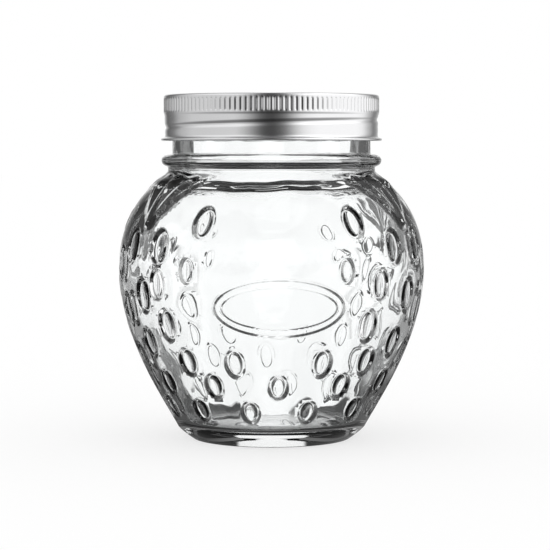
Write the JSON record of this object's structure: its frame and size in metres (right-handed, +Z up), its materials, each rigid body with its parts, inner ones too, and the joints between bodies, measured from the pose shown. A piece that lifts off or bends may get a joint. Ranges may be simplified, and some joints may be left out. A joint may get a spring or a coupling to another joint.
{
  "type": "preserve jar",
  "caption": "Squat clear glass preserve jar moulded like a strawberry, with a flat sealing lid disc held by a rolled metal screw band. Shown empty and closed.",
  "frame": {"origin": "centre of the base, on the surface that the jar stands on", "axes": "+Z up through the mouth; the smooth front panel with the plain oval frame faces -Y"},
  "size_m": [0.1034, 0.104, 0.1164],
  "materials": {
    "glass": "clear flint glass, fire-polished, with moulded relief on the outside",
    "lid_tinplate": "pressed tinplate, clear lacquer, semi-bright",
    "band_tinplate": "rolled tinplate, semi-bright, gripping zone under the top edge"
  },
  "bodies": {
    "root": {"jar": "glass", "lid_disc": "lid_tinplate", "screw_band": "band_tinplate"}
  },
  "joints": []
}
